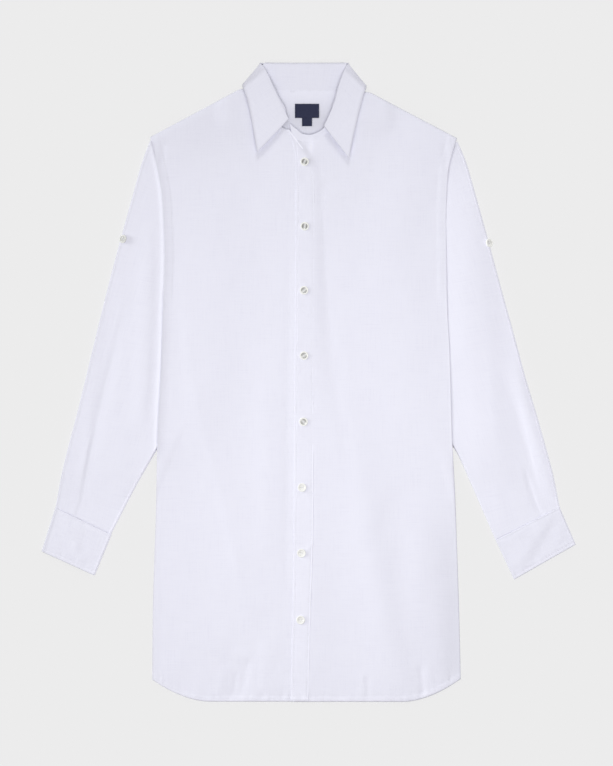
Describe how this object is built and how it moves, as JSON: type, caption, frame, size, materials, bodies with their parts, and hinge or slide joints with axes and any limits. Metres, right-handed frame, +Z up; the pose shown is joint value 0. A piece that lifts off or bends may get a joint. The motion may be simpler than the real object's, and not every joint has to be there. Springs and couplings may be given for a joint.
{
  "type": "linen shirt",
  "caption": "Long white linen shirt laid flat, front up: point collar, buttoned placket, folded-down sleeves with cuffs, shirt-tail hem.",
  "frame": {"origin": "on the surface the shirt lies on, below its centre line and halfway along its length", "axes": "+X to the wearer's left (right in the picture), +Y from the hem to the collar, +Z up out of the shirt's front"},
  "size_m": [0.7732, 0.9258, 0.0147],
  "materials": {
    "linen": "matt white plain-weave linen with a cool tint",
    "shell_button": "off-white mother-of-pearl sheen",
    "label": "navy woven tape, bare"
  },
  "bodies": {
    "root": {"front_right": "linen", "front_left": "linen", "placket": "linen", "back": "linen", "sleeve_right": "linen", "sleeve_left": "linen", "cuff_right": "linen", "cuff_left": "linen", "collar_fall": "linen", "collar_stand": "linen", "button_1": "shell_button", "button_2": "shell_button", "button_3": "shell_button", "button_4": "shell_button", "button_5": "shell_button", "button_6": "shell_button", "button_7": "shell_button", "button_8": "shell_button", "tab_button_right": "shell_button", "tab_button_left": "shell_button", "neck_label": "label", "size_tag": "label"}
  },
  "joints": []
}
